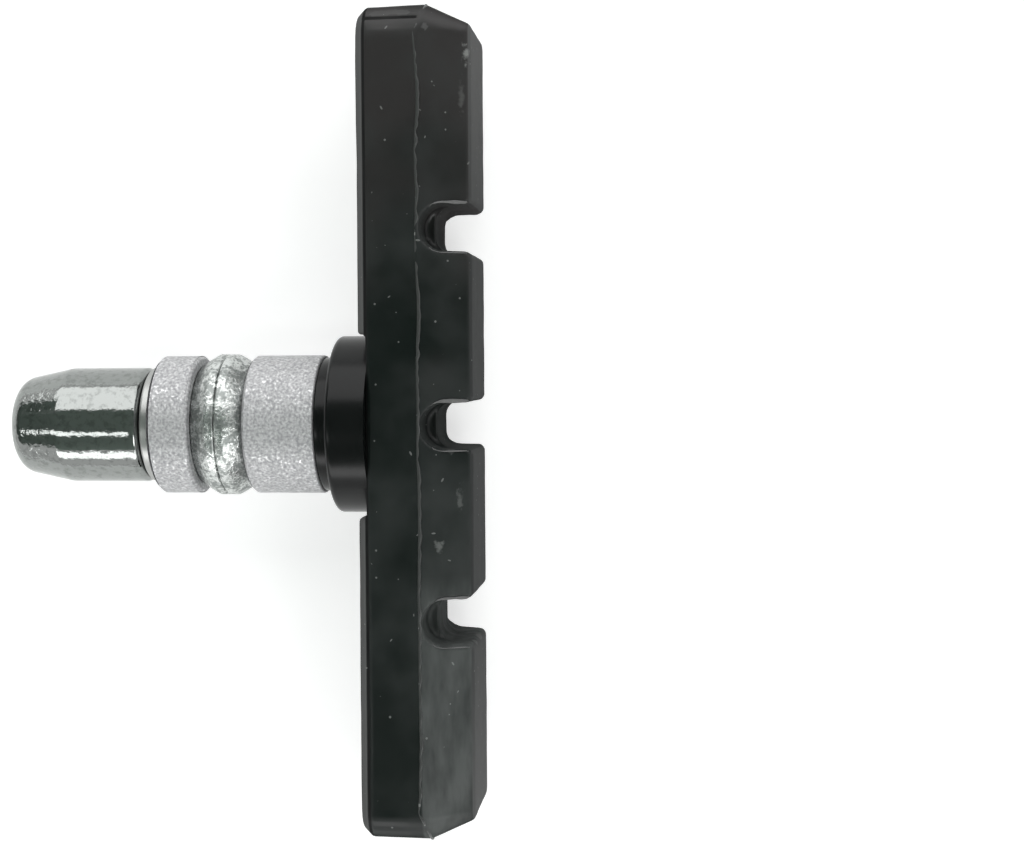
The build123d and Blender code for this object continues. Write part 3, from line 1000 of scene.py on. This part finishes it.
def taper_thread(bm, end, start_radius):
    """Draws the thread's start in to a cone that opens from this radius at the stud's end."""
    for vert in bm.verts:
        radius = radius_of(vert.co)
        room = start_radius + max(0, vert.co.x - end)
        if radius > room:
            vert.co.y, vert.co.z = vert.co.y * room / radius, vert.co.z * room / radius


def socket_radius(angle):
    """Distance from the centre to the side of the hex socket at this angle."""
    side = math.radians(60)
    return SOCKET_FLATS / 2 / math.cos(angle % side - side / 2)


def carry_ring(bm, edges, station):
    """Extrudes a ring of edges to a station and the hex socket's outline, and returns the new ring."""
    made = bmesh.ops.extrude_edge_only(bm, edges=edges)["geom"]
    for vert in (item for item in made if isinstance(item, bmesh.types.BMVert)):
        angle = math.atan2(vert.co.z, vert.co.y)
        radius = socket_radius(angle)
        vert.co = (station, radius * math.cos(angle), radius * math.sin(angle))
    made_edges = [item for item in made if isinstance(item, bmesh.types.BMEdge)]
    return [edge for edge in made_edges if all(abs(v.co.x - station) < RING_REACH for v in edge.verts)]


class BRAKESHOE_OT_nut(Operator):
    """Turn the chrome nut and sink its hex key socket"""

    bl_idname = "brakeshoe.nut"
    bl_label = "Chrome nut"

    def execute(self, context):
        tip, base, outer = turned_size("cap_nut")
        bore = min(radius_of(point) for point in cad_points("cap_nut") if point.x > base - 0.01 * MM)
        shoulder = base - NUT_STRAIGHT
        nose = outer - (shoulder - tip) * math.tan(NUT_TAPER)
        half_bend = (math.pi / 2 - NUT_TAPER) / 2
        centre = nose - NUT_TIP_RADIUS * math.tan(half_bend)
        mouth = SOCKET_FLATS / math.sqrt(3) + SOCKET_LEAD
        first, last = 2 * half_bend, math.asin((mouth - centre) / NUT_TIP_RADIUS)
        angles = [first + (last - first) * k / NUT_TIP_STEPS for k in range(NUT_TIP_STEPS + 1)]
        nose_arc = [
            (tip + NUT_TIP_RADIUS * (1 - math.cos(a)), centre + NUT_TIP_RADIUS * math.sin(a)) for a in angles
        ]
        floor = tip + SOCKET_DEPTH
        section = [(floor, bore), (base, bore), (base, outer - NUT_CHAMFER), (base - NUT_CHAMFER, outer)]
        bm = turned_solid(section + [(shoulder, outer)] + nose_arc, closed=False)
        rim = ring_edges(bm, *nose_arc[-1])
        lead = carry_ring(bm, rim, nose_arc[-1][0] + SOCKET_LEAD)
        foot = carry_ring(bm, lead, floor)
        bmesh.ops.bridge_loops(bm, edges=foot + ring_edges(bm, floor, bore))
        settle(bm)
        for station, radius in ((base - NUT_CHAMFER, outer), (base, outer - NUT_CHAMFER), (shoulder, outer)):
            soften(bm, station, radius, NUT_EDGE, 3)
        roughen(bm, *NUT_WAVES, seed=29)
        chrome = bright_chrome(context.scene.brakeshoe_metal)
        add_piece("chrome_nut", bm, chrome, "nut", ["cap_nut"], sharp=math.radians(50))
        return {"FINISHED"}


def lamp_panel(name, place, size, radiance, along_post=False):
    """Area lamp of this radiance at a place on the stage, facing the part or set square to the post."""
    lamp = bpy.data.lights.new(name, "AREA")
    lamp.shape = "RECTANGLE"
    lamp.size, lamp.size_y = size
    lamp.energy = radiance * math.pi * size[0] * size[1]
    panel = linked_object(name, lamp)
    facing = Vector((0, place.y, place.z)) if along_post else place
    panel.location = place
    panel.rotation_euler = facing.to_track_quat("Z", "Y").to_euler()
    panel.visible_camera = False


def from_zenith(degrees, distance, across=0.0):
    """Place at an angle from straight up, towards +Y, moved along X."""
    angle = math.radians(degrees)
    return Vector((across, math.sin(angle) * distance, math.cos(angle) * distance))


def stage_plane(name, size, centre, material):
    """Level plane of the stage."""
    bm = bmesh.new()
    bmesh.ops.create_grid(bm, x_segments=1, y_segments=1, size=0.5)
    bmesh.ops.scale(bm, verts=bm.verts, vec=(size[0], size[1], 1))
    bmesh.ops.translate(bm, verts=bm.verts, vec=centre)
    plane = mesh_object(name, bm)
    plane.data.materials.append(material)


class BRAKESHOE_OT_stage(Operator):
    """Set out the pale floor, the lamps and the camera"""

    bl_idname = "brakeshoe.stage"
    bl_label = "Stage"

    def execute(self, context):
        look = context.scene.brakeshoe_stage
        set_floor(look)
        set_world(context, look)
        set_lamps(look)
        set_camera(context, look)
        context.scene.view_settings.view_transform = "Standard"
        return {"FINISHED"}


def seen_share(add):
    """Light path value that is one for the eye and for what mirrors and glass show."""
    path = add("LightPath", out=None)
    seen = path["Is Camera Ray"]
    for ray in ("Is Glossy Ray", "Is Transmission Ray"):
        seen = add("Math", {0: seen, 1: path[ray]}, operation="MAXIMUM")
    return seen


def set_floor(look):
    """Pale floor under the part, and dark cards above the camera for the metal to mirror."""
    pale = {"Base Color": look.floor, "Roughness": 0.9, "Specular IOR Level": 0.1}
    floor, shader, add, _ = new_material("pale floor", {**pale, "Emission Color": linear("#ffffff")})
    glow = add("Math", {0: seen_share(add), 1: look.floor_glow}, operation="MULTIPLY")
    set_inputs(shader, {"Emission Strength": glow})
    stage_plane("floor", (6.0, 6.0), (0, 0, cad_box[0].z), floor)
    dark = {"Base Color": look.overhead, "Roughness": 1.0, "Specular IOR Level": 0.0}
    card = new_material("overhead card", dark)[0]
    stage_plane("overhead_card", (5.0, 1.5), (-1.35, -0.26, 0.8), card)
    stage_plane("nose_card", (3.0, 1.2), (-2.3, 1.1, 0.8), card)


def set_world(context, look):
    """Even pale surround: white to the eye and in mirrors, dimmer as a light."""
    world = bpy.data.worlds.new("pale studio")
    world.use_nodes = True
    add = partial(add_node, world.node_tree)
    strength = add("MapRange", {"Value": seen_share(add), "To Min": look.surround, "To Max": 1.0})
    set_inputs(world.node_tree.nodes["Background"], {"Color": linear("#ffffff"), "Strength": strength})
    context.scene.world = world


def set_lamps(look):
    """Wide key panel on the +Y side, two narrow strips on the other, and a soft lamp on the friction side."""
    lamp_panel("key_panel", from_zenith(58, 1.5), (2.6, 1.4), look.key)
    lamp_panel("upper_strip", from_zenith(-17, 0.75, -0.54), (0.63, 0.1), look.strip, along_post=True)
    lamp_panel("lower_strip", from_zenith(-63, 1.3, -0.05), (1.9, 0.32), look.strip, along_post=True)
    lamp_panel("side_lamp", Vector((0.58, -0.47, 0.72)), (0.34, 0.34), look.side)


def set_camera(context, look):
    """Camera above the part, leaning a little over the friction side."""
    turn = (
        Matrix.Rotation(look.camera_roll, 3, "Z")
        @ Matrix.Rotation(look.camera_lean, 3, "X")
        @ Matrix.Rotation(-look.camera_tilt, 3, "Y")
    )
    per_width = look.camera_height / look.focal_widths
    shift = Vector((
        (look.origin_across - 0.5) * per_width,
        -(look.origin_down - 0.5) * IMAGE_HEIGHT / IMAGE_WIDTH * per_width,
        0,
    ))
    place = turn.transposed() @ (Vector((0, 0, look.camera_height)) - shift)
    data = bpy.data.cameras.new("camera")
    data.sensor_width = SENSOR_WIDTH
    data.lens = look.focal_widths * SENSOR_WIDTH
    data.clip_start = 0.01
    data.clip_end = 20
    camera = linked_object("camera", data)
    camera.matrix_world = Matrix.Translation(place) @ turn.transposed().to_4x4()
    context.scene.camera = camera


class BRAKESHOE_PT_panel(Panel):
    """Sidebar panel with the looks and the steps"""

    bl_idname = "BRAKESHOE_PT_panel"
    bl_label = "Brake shoe"
    bl_space_type = "VIEW_3D"
    bl_region_type = "UI"
    bl_category = "Brake shoe"

    def draw(self, context):
        for name in LOOKS:
            look = getattr(context.scene, name)
            box = self.layout.box()
            for key in look.__annotations__:
                box.prop(look, key)
        for step in STEPS:
            self.layout.operator(step.bl_idname)


LOOKS = {"brakeshoe_rubber": RubberLook, "brakeshoe_metal": MetalLook, "brakeshoe_stage": StageLook}
STEPS = (
    BRAKESHOE_OT_block, BRAKESHOE_OT_flash, BRAKESHOE_OT_collar, BRAKESHOE_OT_cups, BRAKESHOE_OT_balls,
    BRAKESHOE_OT_washer, BRAKESHOE_OT_stud, BRAKESHOE_OT_nut, BRAKESHOE_OT_stage,
)
CLASSES = (*LOOKS.values(), *STEPS, BRAKESHOE_PT_panel)


def register():
    """Adds the classes, and the looks to the scene."""
    for cls in CLASSES:
        bpy.utils.register_class(cls)
    for name, look in LOOKS.items():
        setattr(bpy.types.Scene, name, PointerProperty(type=look))


def unregister():
    """Takes the looks off the scene, and the classes out."""
    for name in LOOKS:
        delattr(bpy.types.Scene, name)
    for cls in reversed(CLASSES):
        bpy.utils.unregister_class(cls)


def main():
    """Dresses the part step by step."""
    register()
    bpy.ops.brakeshoe.block()
    bpy.ops.brakeshoe.flash()
    bpy.ops.brakeshoe.collar()
    bpy.ops.brakeshoe.cups()
    bpy.ops.brakeshoe.balls()
    bpy.ops.brakeshoe.washer()
    bpy.ops.brakeshoe.stud()
    bpy.ops.brakeshoe.nut()
    bpy.ops.brakeshoe.stage()


if __name__ == "__main__":
    main()
